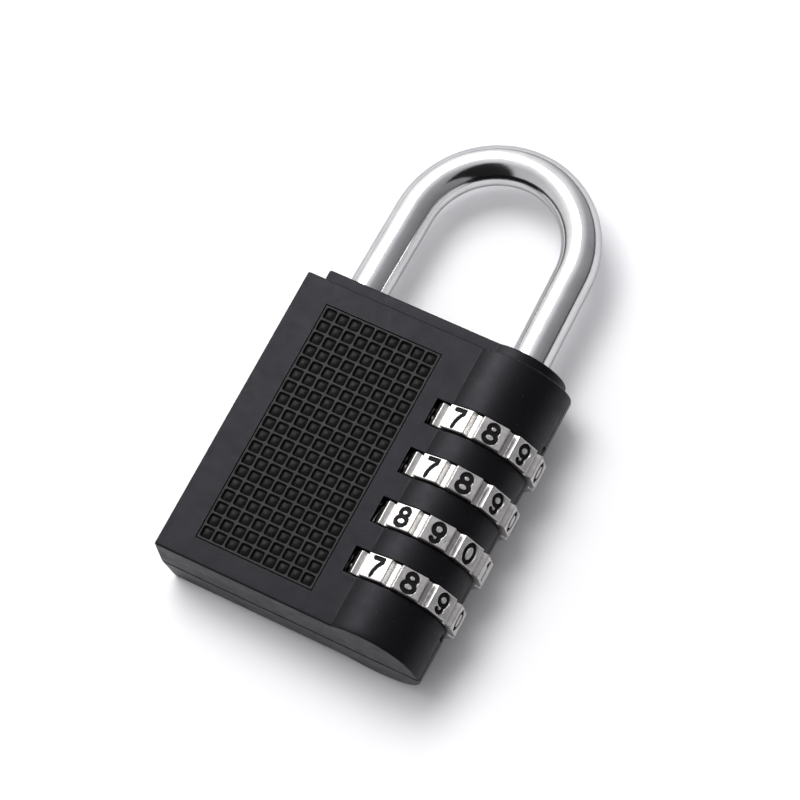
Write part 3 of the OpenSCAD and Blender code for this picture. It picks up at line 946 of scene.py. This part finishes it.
def plain_metal(name, color, roughness, grain):
    """Unpolished metal for the inner parts: colour drift, uneven shine and a fine grain."""
    m = Nodes(name)
    at = m.coords()
    dark = tuple(0.75 * c for c in color)
    base = m.mix(m.ramp(m.noise(at, 0.6, 3), 0.3, 0.7), dark, color)
    base = m.mix(m.maths("MULTIPLY", m.edges(0.1), 0.5), base, tuple(min(1, 1.2 * c) for c in color))
    rough = m.ramp(m.noise(at, 2, 3), 0.3, 0.7, roughness - 0.06, roughness + 0.08)
    return m.surface(base, 1.0, rough, m.bump(m.noise(at, grain, 3), 0.01), 0.5)


def inner_parts():
    """The parts inside keep their own shapes and get their finishes."""
    steel = plain_metal("spring steel", (0.55, 0.55, 0.56), 0.3, 6)
    brass = plain_metal("brass", (0.72, 0.55, 0.28), 0.32, 4)
    finishes = {"thrust_washer": brass}
    for name in ("shell_screws", "retaining_clip", "shackle_spring", "sleeve_spring"):
        finishes[name] = steel
    for n in DIALS:
        finishes[f"sleeve_{n}"] = brass
        finishes[f"detent_spring_{n}"] = steel
    for name, material in finishes.items():
        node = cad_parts[name]
        node.data.materials.clear()
        node.data.materials.append(material)


# ---------------------------------------------------------------- floor, light and camera
FLOOR_SIZE = 4000.0
FLOOR_GAP = 0.02
CORNER_SIGNS = ((-1, -1), (1, -1), (1, 1), (-1, 1))


def floor():
    """Pale sheet that touches the dials and the back's left edge, as the lock lies on it."""
    reach = math.hypot(HEEL_X, HALF)
    tilt = math.atan2(HALF, HEEL_X) - math.asin(DIAL_R / reach)
    run = np.array([math.cos(tilt), 0, math.sin(tilt)])
    foot = np.array([0, 30, -HALF]) - FLOOR_GAP * np.array([-math.sin(tilt), 0, math.cos(tilt)])
    corners = [foot + FLOOR_SIZE / 2 * (i * run + j * np.array([0, 1, 0])) for i, j in CORNER_SIGNS]
    mesh = bpy.data.meshes.new("floor")
    mesh.from_pydata((np.array(corners) * MM + DATUM).tolist(), [], [(0, 1, 2, 3)])
    sheet = bpy.data.objects.new("floor", mesh)
    bpy.context.collection.objects.link(sheet)
    m = Nodes("floor")
    tone = m.ramp(m.noise(m.coords(), 0.01, 2), 0.3, 0.7)
    mesh.materials.append(m.surface(m.mix(tone, (0.87, 0.87, 0.88), (0.89, 0.89, 0.9)), 0.0, 0.9, None, 0.1))


KEY_WAY = (-0.53, 0.41, 0.75)
KEY_GLOW = 0.6
WINDOW_POWER = 2.7
KEY_POWER = 3.3
FILL_POWER = 0.9
EYE = np.array([196.230, -110.363, 513.519 + HALF])
RIGHT = Vector((0.86884, 0.46828, -0.16073))
UP = Vector((-0.38670, 0.84459, 0.37032))
BACK = Vector((0.30916, -0.25959, 0.91489))
AIM = np.array([22.7007, 35.3431, HALF])


def in_frame(point):
    """A point of the body's datum, in millimetres, as a place in the shared frame."""
    return Vector((np.asarray(point, float) * MM + DATUM).tolist())


def camera():
    """Long lens, turned about its own axis so that the lock leans across the picture."""
    data = bpy.data.cameras.new("camera")
    data.sensor_width = 36.0
    data.lens = 170.865
    data.clip_start = 0.02
    data.clip_end = 20.0
    eye = bpy.data.objects.new("camera", data)
    turn = Matrix((RIGHT, UP, BACK)).transposed()
    eye.matrix_world = Matrix.Translation(in_frame(EYE)) @ turn.to_4x4()
    bpy.context.collection.objects.link(eye)
    bpy.context.scene.camera = eye


def area_light(name, way, distance, size, power, mirrored):
    """Square soft light that looks back along its direction from the lock. A mirrored one is only seen in
    shiny surfaces; the others only light what they fall on."""
    data = bpy.data.lights.new(name, "AREA")
    data.shape = "SQUARE"
    data.size = size
    data.energy = power
    direction = Vector(way).normalized()
    lamp = bpy.data.objects.new(name, data)
    lamp.location = in_frame(AIM) + direction * distance
    lamp.rotation_euler = direction.to_track_quat("Z", "Y").to_euler()
    bpy.context.collection.objects.link(lamp)
    lamp.visible_glossy = mirrored
    lamp.visible_diffuse = not mirrored


def studio():
    """Surroundings as the chrome sees them, by direction: a bright patch overhead, paler on the left than on
    the right, a darker line at the horizon, and a dark strip on the near side."""
    w = Nodes("studio", world=True)
    direction = w.add("TexCoord").outputs["Generated"]
    part = w.add("SeparateXYZ")
    w.link(direction, part.inputs[0])
    x, y, z = part.outputs
    dot = w.add("VectorMath", operation="DOT_PRODUCT")
    w.link(direction, dot.inputs[0])
    dot.inputs[1].default_value = Vector(KEY_WAY).normalized()
    patch = w.smooth(dot.outputs["Value"], 0.55, 0.97, 0.0, KEY_GLOW)
    light = w.maths("ADD", w.ramp(x, -1, 1, 1.0, 0.28), patch)
    light = w.maths("MULTIPLY", light, w.smooth(z, 0.05, 0.16, 0.25, 1.0))
    near = w.smooth(y, -0.24, -0.16, 1.0, 0.0)
    aside = w.maths("ABSOLUTE", w.maths("ADD", x, -0.28), 0)
    strip_share = w.maths("MULTIPLY", near, w.smooth(aside, 0.35, 0.4, 1.0, 0.0))
    light = w.maths("MULTIPLY", light, w.ramp(strip_share, 0, 1, 1.0, 0.04))
    tint = w.mix(w.ramp(x, -1, 1), (1.0, 0.985, 1.0), (0.95, 0.93, 1.0))
    scaled = w.add("VectorMath", operation="SCALE")
    w.link(tint, scaled.inputs[0])
    w.link(light, scaled.inputs["Scale"])
    seen = w.add("LightPath").outputs["Is Camera Ray"]
    background = w.add("Background")
    w.link(w.mix(seen, scaled.outputs[0], (0.8, 0.8, 0.81)), background.inputs["Color"])
    out = w.add("OutputWorld")
    w.link(background.outputs[0], out.inputs["Surface"])
    bpy.context.scene.world = w.owner
    area_light("window", KEY_WAY, 0.5, 0.33, WINDOW_POWER, True)
    area_light("key", (-0.24, 0.17, 0.95), 0.7, 0.36, KEY_POWER, False)
    area_light("fill", (0.1, -0.05, 1.0), 0.9, 0.9, FILL_POWER, False)
    bpy.context.scene.view_settings.view_transform = "Standard"


dial_plating = dial_metal("dial plating")
shackle_plating = chrome("chrome")
shells()
grip_panel()
for number in DIALS:
    dial(number, dial_plating)
shackle(shackle_plating)
inner_parts()
floor()
studio()
camera()
